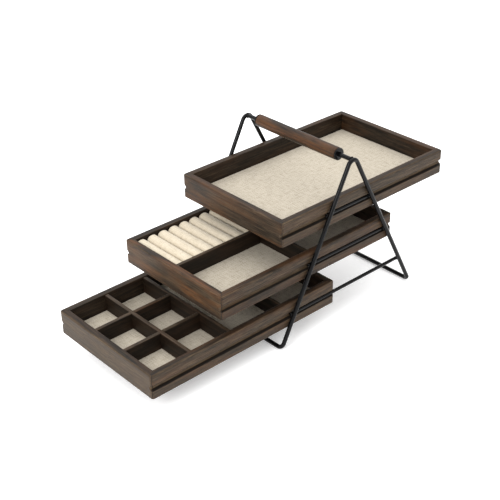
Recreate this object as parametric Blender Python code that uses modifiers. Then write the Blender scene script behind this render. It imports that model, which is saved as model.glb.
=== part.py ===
"""Three-tier jewellery tray carrier: three lined wooden trays that slide on the rails of a bent wire frame.

Metres, +Z up. X runs along the trays and their slides, Y across the carrier. The trays are drawn out
by the amounts named below, and the origin is the middle of the footprint of the whole, on the floor.
"""

import math

import bmesh
import bpy
from mathutils import Vector

# ---------------------------------------------------------------- driving dimensions
tray_length = 0.254
tray_width = 0.159
tray_height = 0.0285
wall = 0.008
corner_radius = 0.003
top_edge_radius = 0.0016
inner_edge_radius = 0.0008
foot_edge_radius = 0.0012

top_offset = 0.027
middle_offset = -0.056
bottom_offset = -0.1465
bottom_tray_height = 0.0235
tier_pitch = 0.0502

gap = 0.0003
leg_wire = 0.0048
rail_wire = 0.0040
leg_clearance = 0.0004
foot_spread = 0.2046
ridge_height = 0.2000
apex_radius = 0.0072
foot_radius = 0.0062
rail_overlap = 0.0012

groove_depth = 0.0050
groove_mouth_top = 0.0178
groove_back_top = 0.0136
groove_mouth_low = 0.0098
groove_back_low = 0.0110

panel_thickness = 0.0040
panel_tongue = 0.0030
panel_height = 0.0018
lining_thickness = 0.0022

divider_thickness = 0.0045
divider_drop = 0.0010
cross_one = 0.0558
cross_two = 0.1074
cross_three = 0.1786

roll_count = 8
roll_pad_thickness = 0.0034
roll_end_radius = 0.0022

grip_diameter = 0.0140
grip_setback = 0.0195
cap_thickness = 0.0018
cap_inset = 0.0002

# ---------------------------------------------------------------- sizes that follow
leg_radius = leg_wire / 2
rail_radius = rail_wire / 2
leg_plane = tray_width / 2 + leg_clearance + leg_radius
rail_plane = leg_plane - leg_radius - gap - rail_radius
floor_line = leg_radius
half_spread = foot_spread / 2
lean = math.atan2(half_spread, ridge_height - floor_line)
apex_height = ridge_height - apex_radius * (1 / math.sin(lean) - 1)

left_reach = bottom_offset - tray_length / 2
right_reach = top_offset + tray_length / 2
carrier_x = -(left_reach + right_reach) / 2

rail_inset = tray_width / 2 - rail_plane
ceiling_run = math.hypot(groove_depth, groove_mouth_top - groove_back_top)
ceiling_fall = (groove_mouth_top - groove_back_top) / groove_depth
rail_in_tray = (
    groove_mouth_top - ceiling_fall * rail_inset - (rail_radius + gap) * ceiling_run / groove_depth
)

lining_low = panel_height + panel_thickness + gap
lining_top = lining_low + lining_thickness
divider_top = tray_height - divider_drop
inner_length = tray_length - 2 * wall
inner_width = tray_width - 2 * wall

tiers = {
    "bottom": (bottom_offset, bottom_tray_height),
    "middle": (middle_offset, bottom_tray_height + tier_pitch),
    "top": (top_offset, bottom_tray_height + 2 * tier_pitch),
}

# ---------------------------------------------------------------- scene and materials
for old in list(bpy.data.objects):
    bpy.data.objects.remove(old, do_unlink=True)

scene = bpy.context.scene
scene.unit_settings.system = "METRIC"
scene.unit_settings.scale_length = 1.0
armoire = bpy.data.collections.new("jewelry_armoire")
scene.collection.children.link(armoire)
cutters = bpy.data.collections.new("cutters")
cutters.hide_render = True
scene.collection.children.link(cutters)


def material_for(name, color, roughness, metallic):
    """One Principled material of its own for the named object."""
    material = bpy.data.materials.new(name + "_material")
    material.use_nodes = True
    shader = material.node_tree.nodes["Principled BSDF"]
    shader.inputs["Base Color"].default_value = (*color, 1.0)
    shader.inputs["Roughness"].default_value = roughness
    shader.inputs["Metallic"].default_value = metallic
    return material


looks = {
    "black_steel": ((0.028, 0.029, 0.031), 0.42, 0.3),
    "walnut": ((0.075, 0.048, 0.034), 0.55, 0.0),
    "grip_walnut": ((0.105, 0.050, 0.036), 0.5, 0.0),
    "linen": ((0.60, 0.53, 0.42), 0.95, 0.0),
    "roll_cloth": ((0.68, 0.61, 0.49), 0.95, 0.0),
}


def add_object(name, mesh, look, parent=None, smooth=False):
    """Links one visible object and gives it its material."""
    thing = bpy.data.objects.new(name, mesh)
    armoire.objects.link(thing)
    color, roughness, metallic = looks[look]
    mesh.materials.append(material_for(name, color, roughness, metallic))
    if parent is not None:
        thing.parent = parent
    for face in mesh.polygons:
        face.use_smooth = smooth
    return thing


def mesh_from(name, bm):
    """Turns a finished bmesh into mesh data with its faces turned outwards."""
    bmesh.ops.remove_doubles(bm, verts=bm.verts[:], dist=0.000001)
    bmesh.ops.recalc_face_normals(bm, faces=bm.faces[:])
    mesh = bpy.data.meshes.new(name)
    bm.to_mesh(mesh)
    bm.free()
    return mesh


def box_mesh(name, low, high):
    """A cube primitive stretched between two corners."""
    size = high - low
    bm = bmesh.new()
    bmesh.ops.create_cube(bm, size=1.0)
    bmesh.ops.scale(bm, vec=size, verts=bm.verts[:])
    bmesh.ops.translate(bm, vec=(low + high) / 2, verts=bm.verts[:])
    return mesh_from(name, bm)


def bevelled(thing, width, segments):
    """A live Bevel on the edges sharper than 40 degrees."""
    bevel = thing.modifiers.new("soft_edges", "BEVEL")
    bevel.width = width
    bevel.segments = segments
    bevel.limit_method = "ANGLE"
    bevel.angle_limit = math.radians(40)
    bevel.use_clamp_overlap = True


def quarter(center_a, center_b, radius, start, steps):
    """Points of a quarter circle, start and the turn in degrees."""
    points = []
    for k in range(steps + 1):
        angle = math.radians(start + 90 * k / steps)
        points.append((center_a + radius * math.cos(angle), center_b + radius * math.sin(angle)))
    return points


# ---------------------------------------------------------------- tray pieces
def wall_section():
    """Upright section of a tray wall: (distance in from the outer face, height), with the panel dado."""
    dado_low = panel_height - gap
    dado_top = panel_height + panel_thickness + gap
    dado_back = wall - panel_tongue - gap
    points = quarter(foot_edge_radius, foot_edge_radius, foot_edge_radius, 180, 2)
    points += [(wall, 0.0), (wall, dado_low), (dado_back, dado_low)]
    points += [(dado_back, dado_top), (wall, dado_top)]
    points += quarter(
        wall - inner_edge_radius, tray_height - inner_edge_radius, inner_edge_radius, 0, 1
    )
    points += quarter(top_edge_radius, tray_height - top_edge_radius, top_edge_radius, 90, 3)
    return points


def mitred_wall(name, length, turn):
    """One side of a tray, mitred at both ends, its outer corners rounded; turn puts (u, v, z) in place."""
    section = wall_section()
    mitre_gap = gap / 2 * math.sqrt(2)
    arc_steps = 3
    bm = bmesh.new()
    stations = []
    for side in (-1, 1):
        rows = []
        for k in range(arc_steps + 1):
            angle = math.radians(45 + 45 * k / arc_steps)
            row = []
            for depth, z in section:
                reach = corner_radius - depth
                if reach > 0:
                    u = corner_radius - reach * math.cos(angle)
                    v = corner_radius - reach * math.sin(angle)
                    if k == 0:
                        u += mitre_gap
                else:
                    u = depth + mitre_gap
                    v = depth
                row.append(bm.verts.new(turn(side * (length / 2 - u), v, z)))
            rows.append(row)
        stations += rows if side < 0 else list(reversed(rows))
    count = len(section)
    for first, last in zip(stations, stations[1:]):
        for k in range(count):
            n = (k + 1) % count
            bm.faces.new((first[k], last[k], last[n], first[n]))
    bm.faces.new(stations[0])
    bm.faces.new(list(reversed(stations[-1])))
    bmesh.ops.remove_doubles(bm, verts=bm.verts[:], dist=0.000001)
    bmesh.ops.dissolve_degenerate(bm, dist=0.000001, edges=bm.edges[:])
    return mesh_from(name, bm)


def helper(name, mesh, parent):
    """A cutter: it is never rendered and shows as wire."""
    cutter = bpy.data.objects.new(name, mesh)
    cutters.objects.link(cutter)
    cutter.parent = parent
    cutter.hide_render = True
    cutter.display_type = "WIRE"
    return cutter


def groove_cutter(name, side, parent):
    """One side's groove: a long cube, open at the tray's ends, that tapers to the groove's back."""
    reach = 0.002
    slope_top = (groove_mouth_top - groove_back_top) / groove_depth
    slope_low = (groove_back_low - groove_mouth_low) / groove_depth
    face = tray_width / 2
    long = tray_length / 2 + reach
    bm = bmesh.new()
    bmesh.ops.create_cube(bm, size=2.0)
    for spot in bm.verts:
        outside = spot.co.y * side > 0
        spot.co.x *= long
        spot.co.y = side * (face + reach if outside else face - groove_depth)
        if spot.co.z > 0:
            spot.co.z = groove_mouth_top + slope_top * reach if outside else groove_back_top
        else:
            spot.co.z = groove_mouth_low - slope_low * reach if outside else groove_back_low
    return helper(name, mesh_from(name, bm), parent)


def cut_with(thing, cutter):
    """A live Boolean that takes the cutter out of the piece."""
    cut = thing.modifiers.new(cutter.name, "BOOLEAN")
    cut.operation = "DIFFERENCE"
    cut.solver = "EXACT"
    cut.object = cutter


def block(name, x_range, y_range, z_range, look, parent, bevel=0.0):
    """A board between the given limits, its edges eased by bevel."""
    low, high = (Vector(corner) for corner in zip(x_range, y_range, z_range))
    thing = add_object(name, box_mesh(name, low, high), look, parent)
    if bevel > 0:
        bevelled(thing, bevel, 1)
    return thing


def tray(tier):
    """One tray: four mitred walls, a panel held in their dado and a lined card on the panel."""
    offset, height = tiers[tier]
    slide = bpy.data.objects.new(tier + "_tray_slide", None)
    armoire.objects.link(slide)
    slide.location = (carrier_x + offset, 0.0, height)
    grooves = [
        groove_cutter(tier + "_groove_near", -1, slide),
        groove_cutter(tier + "_groove_far", 1, slide),
    ]
    half_l = tray_length / 2
    half_w = tray_width / 2
    turns = {
        "side_near": (tray_length, lambda u, v, z: Vector((u, -half_w + v, z))),
        "side_far": (tray_length, lambda u, v, z: Vector((u, half_w - v, z))),
        "end_left": (tray_width, lambda u, v, z: Vector((-half_l + v, u, z))),
        "end_right": (tray_width, lambda u, v, z: Vector((half_l - v, u, z))),
    }
    for part, (length, turn) in turns.items():
        name = tier + "_tray_" + part
        thing = add_object(name, mitred_wall(name, length, turn), "walnut", slide)
        for groove in grooves:
            if part.startswith("end_") or groove.name.endswith(part.removeprefix("side_")):
                cut_with(thing, groove)
    reach_x = inner_length / 2 + panel_tongue
    reach_y = inner_width / 2 + panel_tongue
    block(
        tier + "_tray_panel",
        (-reach_x, reach_x),
        (-reach_y, reach_y),
        (panel_height, panel_height + panel_thickness),
        "walnut",
        slide,
    )
    reach_x = inner_length / 2 - gap
    reach_y = inner_width / 2 - gap
    block(
        tier + "_tray_lining",
        (-reach_x, reach_x),
        (-reach_y, reach_y),
        (lining_low, lining_top),
        "linen",
        slide,
        0.0004,
    )
    return slide


def divider(name, axis, center, start, end, parent, slots=(), slots_open="low"):
    """An upright strip on edge, centred on one line along X or Y, halved at the given crossings."""
    low = lining_top + gap
    middle = (low + divider_top) / 2
    half = divider_thickness / 2

    def corner(along, across, z):
        return Vector((along, across, z)) if axis == "x" else Vector((across, along, z))

    mesh = box_mesh(name, corner(start, center - half, low), corner(end, center + half, divider_top))
    strip = add_object(name, mesh, "walnut", parent)
    past = 0.001
    if slots_open == "low":
        slot_low, slot_top = low - past, middle + gap / 2
    else:
        slot_low, slot_top = middle - gap / 2, divider_top + past
    for k, at in enumerate(slots):
        slot_name = "%s_slot_%d" % (name, k + 1)
        slot = box_mesh(
            slot_name,
            corner(at - half - gap, center - half - past, slot_low),
            corner(at + half + gap, center + half + past, slot_top),
        )
        cut_with(strip, helper(slot_name, slot, parent))
    return strip


def middle_fittings(slide):
    """A long divider down the middle, a cross divider halfway, and ring rolls in the far left space."""
    end_x = inner_length / 2 - gap
    end_y = inner_width / 2 - gap
    half = divider_thickness / 2
    divider("middle_tray_divider_cross", "y", 0.0, -end_y, end_y, slide)
    divider("middle_tray_divider_long", "x", 0.0, -end_x, -half - gap, slide)
    x_left = -inner_length / 2 + gap
    x_right = -half - gap
    y_near = half + gap
    y_far = inner_width / 2 - gap
    pad_top = lining_top + gap + roll_pad_thickness
    block(
        "middle_tray_roll_pad",
        (x_left, x_right),
        (y_near, y_far),
        (lining_top + gap, pad_top),
        "roll_cloth",
        slide,
        0.0006,
    )
    pitch = (x_right - x_left + gap) / roll_count
    radius = (pitch - gap) / 2
    length = y_far - y_near
    for k in range(roll_count):
        name = "ring_roll_%d" % (k + 1)
        bm = bmesh.new()
        bmesh.ops.create_cone(
            bm, cap_ends=True, segments=20, radius1=radius, radius2=radius, depth=length
        )
        mesh = mesh_from(name, bm)
        roll = add_object(name, mesh, "roll_cloth", slide, smooth=True)
        roll.rotation_euler = (math.pi / 2, 0.0, 0.0)
        roll.location = (
            x_left + radius + k * pitch,
            (y_near + y_far) / 2,
            pad_top + gap + radius,
        )
        bevelled(roll, roll_end_radius, 3)


def bottom_fittings(slide):
    """Three cross dividers; two long ones halved into the first and stopped at the second."""
    origin = -tray_length / 2
    end_y = inner_width / 2 - gap
    half = divider_thickness / 2
    cell = (inner_width - 2 * divider_thickness) / 3
    row_one = -inner_width / 2 + cell + half
    row_two = inner_width / 2 - cell - half
    first = origin + cross_one
    second = origin + cross_two
    third = origin + cross_three
    divider("bottom_tray_cross_one", "y", first, -end_y, end_y, slide, (row_one, row_two))
    divider("bottom_tray_cross_two", "y", second, -end_y, end_y, slide)
    divider("bottom_tray_cross_three", "y", third, -end_y, end_y, slide)
    start = -inner_length / 2 + gap
    stop = second - half - gap
    divider("bottom_tray_long_near", "x", row_one, start, stop, slide, (first,), "top")
    divider("bottom_tray_long_far", "x", row_two, start, stop, slide, (first,), "top")


# ---------------------------------------------------------------- wire frame
def wire(name, points, diameter):
    """A round wire along a path of points, closed with flat ends, as a mesh."""
    curve = bpy.data.curves.new(name + "_path", "CURVE")
    curve.dimensions = "3D"
    curve.fill_mode = "FULL"
    curve.bevel_depth = diameter / 2
    curve.bevel_resolution = 4
    curve.use_fill_caps = True
    spline = curve.splines.new("POLY")
    spline.points.add(len(points) - 1)
    for spot, point in zip(spline.points, points):
        spot.co = (*point, 1.0)
    guide = bpy.data.objects.new(name + "_guide", curve)
    scene.collection.objects.link(guide)
    bpy.context.view_layer.update()
    graph = bpy.context.evaluated_depsgraph_get()
    mesh = bpy.data.meshes.new_from_object(guide.evaluated_get(graph))
    bpy.data.objects.remove(guide, do_unlink=True)
    bm = bmesh.new()
    bm.from_mesh(mesh)
    bpy.data.meshes.remove(mesh)
    mesh = mesh_from(name, bm)
    return add_object(name, mesh, "black_steel", smooth=True)


def fillet(before, corner, after, radius, steps):
    """Points of an arc of the given radius that rounds the corner between two straight runs."""
    back = (before - corner).normalized()
    on = (after - corner).normalized()
    half = back.angle(on) / 2
    reach = radius / math.tan(half)
    center = corner + (back + on).normalized() * (radius / math.sin(half))
    first = corner + back * reach - center
    last = corner + on * reach - center
    sweep = first.angle(last)
    points = []
    for k in range(steps + 1):
        t = k / steps
        mix = first * (math.sin((1 - t) * sweep) / math.sin(sweep))
        mix += last * (math.sin(t * sweep) / math.sin(sweep))
        points.append(center + mix)
    return points


def end_frame(name, side):
    """One A-frame: up from the middle of one foot bar, over the apex and down to the other foot bar."""
    plane = side * leg_plane
    seam = side * gap / 2
    left = carrier_x - half_spread
    right = carrier_x + half_spread
    seam_left = Vector((left, seam, floor_line))
    foot_left = Vector((left, plane, floor_line))
    ridge = Vector((carrier_x, plane, ridge_height))
    foot_right = Vector((right, plane, floor_line))
    seam_right = Vector((right, seam, floor_line))
    points = [seam_left]
    points += fillet(seam_left, foot_left, ridge, foot_radius, 6)
    points += fillet(foot_left, ridge, foot_right, apex_radius, 8)
    points += fillet(ridge, foot_right, seam_right, foot_radius, 6)
    points += [seam_right]
    return wire(name, points, leg_wire)


def rails():
    """Two rails per tier, welded on the inner side of the legs."""
    for tier, (offset, height) in tiers.items():
        z = height + rail_in_tray
        reach = (ridge_height - z) * math.tan(lean) + rail_overlap
        for side, word in ((-1, "near"), (1, "far")):
            y = side * rail_plane
            points = [
                Vector((carrier_x - reach, y, z)),
                Vector((carrier_x + reach, y, z)),
            ]
            wire("%s_rail_%s" % (tier, word), points, rail_wire)


# ---------------------------------------------------------------- handle
def turned(name, profile, look, center_y):
    """A ring turned about the handle's axis from a closed profile of (distance out, along)."""
    bm = bmesh.new()
    spots = [bm.verts.new((r, 0.0, t)) for r, t in profile]
    for k in range(len(spots)):
        bm.edges.new((spots[k], spots[(k + 1) % len(spots)]))
    mesh = bpy.data.meshes.new(name)
    bm.to_mesh(mesh)
    bm.free()
    thing = add_object(name, mesh, look, smooth=True)
    screw = thing.modifiers.new("turn", "SCREW")
    screw.axis = "Z"
    screw.angle = 2 * math.pi
    screw.steps = 28
    screw.render_steps = 28
    screw.use_smooth_shade = True
    screw.use_merge_vertices = True
    screw.merge_threshold = 0.0001
    thing.rotation_euler = (math.pi / 2, 0.0, 0.0)
    thing.location = (carrier_x, center_y, apex_height)
    return thing


def handle():
    """A welded rod between the apexes carrying a turned wooden grip between two thin end discs."""
    rod_end = leg_plane - leg_radius - gap
    wire(
        "handle_rod",
        [
            Vector((carrier_x, -rod_end, apex_height)),
            Vector((carrier_x, rod_end, apex_height)),
        ],
        leg_wire,
    )
    bore = leg_radius + gap
    grip_end = leg_plane - grip_setback - cap_thickness - gap
    outer = grip_diameter / 2
    ease = 0.0006
    turned(
        "handle_grip",
        [
            (outer, grip_end - ease),
            (outer, -grip_end + ease),
            (outer - ease, -grip_end),
            (bore, -grip_end),
            (bore, grip_end),
            (outer - ease, grip_end),
        ],
        "grip_walnut",
        0.0,
    )
    rim = outer - cap_inset
    half = cap_thickness / 2
    ease = 0.0005
    for side, word in ((-1, "near"), (1, "far")):
        turned(
            "handle_cap_" + word,
            [
                (rim, half - ease),
                (rim, -half + ease),
                (rim - ease, -half),
                (bore, -half),
                (bore, half),
                (rim - ease, half),
            ],
            "black_steel",
            side * (leg_plane - grip_setback - half),
        )


# ---------------------------------------------------------------- build
top_slide = tray("top")
middle_slide = tray("middle")
bottom_slide = tray("bottom")
middle_fittings(middle_slide)
bottom_fittings(bottom_slide)
end_frame("end_frame_near", -1)
end_frame("end_frame_far", 1)
rails()
handle()
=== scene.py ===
"""Finished surfaces, materials and stage of a jewelry carrier: three lined trays sliding on a wire frame.

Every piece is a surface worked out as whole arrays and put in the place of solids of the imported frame.
Metres, +Z up; X runs along the trays and Y across the carrier.
"""

import math

import bmesh
import bpy
import numpy as np
from bpy.props import FloatProperty, FloatVectorProperty, IntProperty, PointerProperty, StringProperty
from mathutils import Euler, Matrix, Vector


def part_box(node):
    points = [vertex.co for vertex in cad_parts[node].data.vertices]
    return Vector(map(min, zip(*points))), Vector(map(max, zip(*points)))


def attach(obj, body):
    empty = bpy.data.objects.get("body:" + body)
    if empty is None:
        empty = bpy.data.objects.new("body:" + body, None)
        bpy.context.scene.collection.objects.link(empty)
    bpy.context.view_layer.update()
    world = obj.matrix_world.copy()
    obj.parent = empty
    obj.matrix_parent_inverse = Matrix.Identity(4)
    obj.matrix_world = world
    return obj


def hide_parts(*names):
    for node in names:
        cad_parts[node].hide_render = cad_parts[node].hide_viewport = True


bl_info = {
    "name": "Jewelry Tray Carrier",
    "version": (1, 0, 0),
    "blender": (4, 5, 0),
    "location": "3D View > Sidebar > Tray Carrier",
    "description": "Builds the finished surfaces of a three-tier carrier with sliding jewelry trays",
    "category": "Add Mesh",
}

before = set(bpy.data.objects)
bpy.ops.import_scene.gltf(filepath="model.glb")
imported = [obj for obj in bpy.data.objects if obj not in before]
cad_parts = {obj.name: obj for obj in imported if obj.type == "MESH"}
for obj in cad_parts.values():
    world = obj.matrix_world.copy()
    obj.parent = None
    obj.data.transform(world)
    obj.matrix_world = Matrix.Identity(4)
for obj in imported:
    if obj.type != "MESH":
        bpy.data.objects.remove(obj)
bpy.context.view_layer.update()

TIERS = ("top", "middle", "bottom")
MILLIMETRE = 0.001
# Points this near each other are one point, and an edge this short is none.
SEAM = 0.002 * MILLIMETRE
SLIVER = 0.001 * MILLIMETRE


# ---------------------------------------------------------------- settings
def size_setting(name, description, default):
    """A length in metres."""
    return FloatProperty(name=name, description=description, default=default, unit="LENGTH")


def color_setting(name, description, default):
    """A colour as sRGB hex."""
    return StringProperty(name=name, description=description + ", sRGB hex", default=default)


class TrayWoodSettings(bpy.types.PropertyGroup):
    """Shape of the wooden boards and the colours of their stain."""

    corner_radius: size_setting("Corner Radius", "Upright corners of a tray", 0.003)
    top_edge: size_setting("Top Edge", "Rounding of a wall's outer top edge", 0.0016)
    inner_edge: size_setting("Inner Edge", "Rounding of a wall's inner top edge", 0.0009)
    foot_edge: size_setting("Foot Edge", "Rounding of a wall's lower edge", 0.0012)
    groove_mouth_low: size_setting("Groove Mouth, Low", "Height of the mouth's lower lip", 0.0098)
    groove_mouth_top: size_setting("Groove Mouth, Top", "Height of the mouth's upper lip", 0.0178)
    groove_roof: size_setting("Groove Roof", "Height of the edge under the upper chamfer", 0.0158)
    chamfer: size_setting("Chamfer", "Depth of the chamfer under the upper lip", 0.0012)
    rail_room: size_setting("Rail Room", "Clearance round a rail in its groove", 0.0004)
    lip_ease: size_setting("Lip Ease", "Sanded ease of the groove's lips", 0.0004)
    mitre_gap: size_setting("Mitre Gap", "Hairline between the boards at a corner", 0.0001)
    divider_edge: size_setting("Divider Edge", "Rounding along a divider's top", 0.0006)
    panel_edge: size_setting("Panel Edge", "Ease round a panel's edge", 0.0004)
    joint_fit: size_setting("Joint Fit", "Clearance in a dado or a halving joint", 0.0001)
    grip_ease: size_setting("Grip Ease", "Rounding of the turned grip's ends", 0.0007)
    dark_stain: color_setting("Dark Stain", "Late wood and shaded faces", "#130E09")
    mid_stain: color_setting("Mid Stain", "Ground colour", "#33271D")
    red_stain: color_setting("Red Stain", "Heartwood streaks", "#58381F")
    # The worn stain also colours the painted highlight on rounded edges and the painted light in the
    # grooves.
    worn_stain: color_setting("Worn Stain", "Pale streaks and rubbed edges", "#5E4F3D")
    pore_stain: color_setting("Pores", "Stain lying in the pores", "#15100D")


class WireSettings(bpy.types.PropertyGroup):
    """Bends, welds and coating of the steel wire frame."""

    apex_radius: size_setting("Apex Bend", "Centre-line radius at the apex", 0.0072)
    foot_radius: size_setting("Foot Bend", "Centre-line radius at each foot", 0.0062)
    end_ease: size_setting("End Ease", "Ground edge of a cut wire end", 0.0004)
    disc_ease: size_setting("Disc Ease", "Rounding of the grip's end discs", 0.0005)
    weld_length: size_setting("Weld Length", "Length of a lap weld along the rail", 0.0062)
    flare_run: size_setting("Flare Run", "Length of the fillet weld on the rod", 0.0016)
    flare_rise: size_setting("Flare Rise", "Height of the fillet weld on the rod", 0.0009)
    sides: IntProperty(name="Sides", description="Facets round a wire", default=28, min=8)
    coat_color: color_setting("Coating", "Powder coat", "#060607")
    coat_haze: color_setting("Coating Haze", "Paler patches of the powder coat", "#0B0B0C")


class ClothSettings(bpy.types.PropertyGroup):
    """Linings and ring rolls."""

    cloth_thickness: size_setting("Cloth", "Thickness of the lining cloth", 0.0006)
    turn_radius: size_setting("Turned Edge", "Where the lining turns down over its card", 0.0009)
    lining_wave: size_setting("Lining Wave", "Height of the lining's slight waves", 0.00012)
    lining_thread: size_setting("Lining Thread", "Spacing of the lining's threads", 0.0014)
    roll_thread: size_setting("Roll Thread", "Spacing of the ring rolls' threads", 0.0012)
    roll_end: size_setting("Roll End", "Rounding of a ring roll's ends", 0.0012)
    roll_dimple: size_setting("Roll Dimple", "How far a roll's end is sunk in the middle", 0.0005)
    roll_swell: size_setting("Roll Swell", "Most that a roll's cloth may swell, both sides", 0.0006)
    lining_light: color_setting("Lining Light", "The lining's raised threads", "#BDB4A4")
    lining_dark: color_setting("Lining Dark", "Between the lining's threads", "#857B6A")
    roll_light: color_setting("Roll Light", "The rolls' raised threads", "#CCC1AE")
    roll_dark: color_setting("Roll Dark", "Between the rolls' threads", "#A2967F")


class StageSettings(bpy.types.PropertyGroup):
    """Floor, lights and camera."""

    camera_place: FloatVectorProperty(
        name="Camera Place",
        description="Where the camera stands",
        default=(-0.6753, -0.7546, 0.6707),
        unit="LENGTH",
    )
    camera_azimuth: FloatProperty(
        name="Azimuth", description="Turn about the upright", default=math.radians(-41.285), subtype="ANGLE"
    )
    camera_elevation: FloatProperty(
        name="Elevation", description="How far it looks down", default=math.radians(30.554), subtype="ANGLE"
    )
    camera_roll: FloatProperty(
        name="Roll", description="Tilt about the line of sight", default=math.radians(-1.29), subtype="ANGLE"
    )
    lens: FloatProperty(name="Lens", description="Focal length in millimetres", default=76.18)
    sky: FloatProperty(name="Sky", description="Brightness of the even light all round", default=1.25)
    key: FloatProperty(name="Key", description="Power of the soft light above, in watts", default=28.0)
    fill: FloatProperty(name="Fill", description="Power of the soft light in front, in watts", default=20.0)
    floor_glow: FloatProperty(name="Floor Glow", description="Light of the table under it", default=0.28)
    floor_color: color_setting("Floor", "White paper", "#FAFAFA")


class CarrierSettings(bpy.types.PropertyGroup):
    """All settings of the carrier."""

    wood: PointerProperty(type=TrayWoodSettings)
    wire: PointerProperty(type=WireSettings)
    cloth: PointerProperty(type=ClothSettings)
    stage: PointerProperty(type=StageSettings)


# ---------------------------------------------------------------- materials
def linear(hex_color):
    """sRGB hex to linear RGBA: below 0.04045 divided by 12.92, above it ((c + 0.055) / 1.055) to the 2.4."""
    values = np.array([int(hex_color[k : k + 2], 16) for k in (1, 3, 5)]) / 255
    low = values / 12.92
    high = ((values + 0.055) / 1.055) ** 2.4
    return (*np.where(values <= 0.04045, low, high).tolist(), 1.0)


# The Mix node's colour inputs and output share their names with its others, so they go by number.
COLOR_A, COLOR_B, MIXED_COLOR = 6, 7, 2
NUMBER_A, NUMBER_B = 2, 3
STRETCH = ("Value", "From Min", "From Max", "To Min", "To Max")


def feed(tree, node, sockets):
    """Sets each input of a node to a value, or joins it to the output that feeds it."""
    for key, value in sockets.items():
        if isinstance(value, bpy.types.NodeSocket):
            tree.links.new(value, node.inputs[key])
        else:
            node.inputs[key].default_value = value


def add(tree, kind, sockets=None, **settings):
    """Adds a node with its settings, and the values and links of its inputs."""
    node = tree.nodes.new(kind)
    for name, value in settings.items():
        setattr(node, name, value)
    feed(tree, node, sockets or {})
    return node


def new_material(name):
    """An empty node material, its tree and its Principled BSDF joined to the output."""
    material = bpy.data.materials.new(name)
    material.use_nodes = True
    tree = material.node_tree
    return material, tree, tree.nodes["Principled BSDF"]


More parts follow.
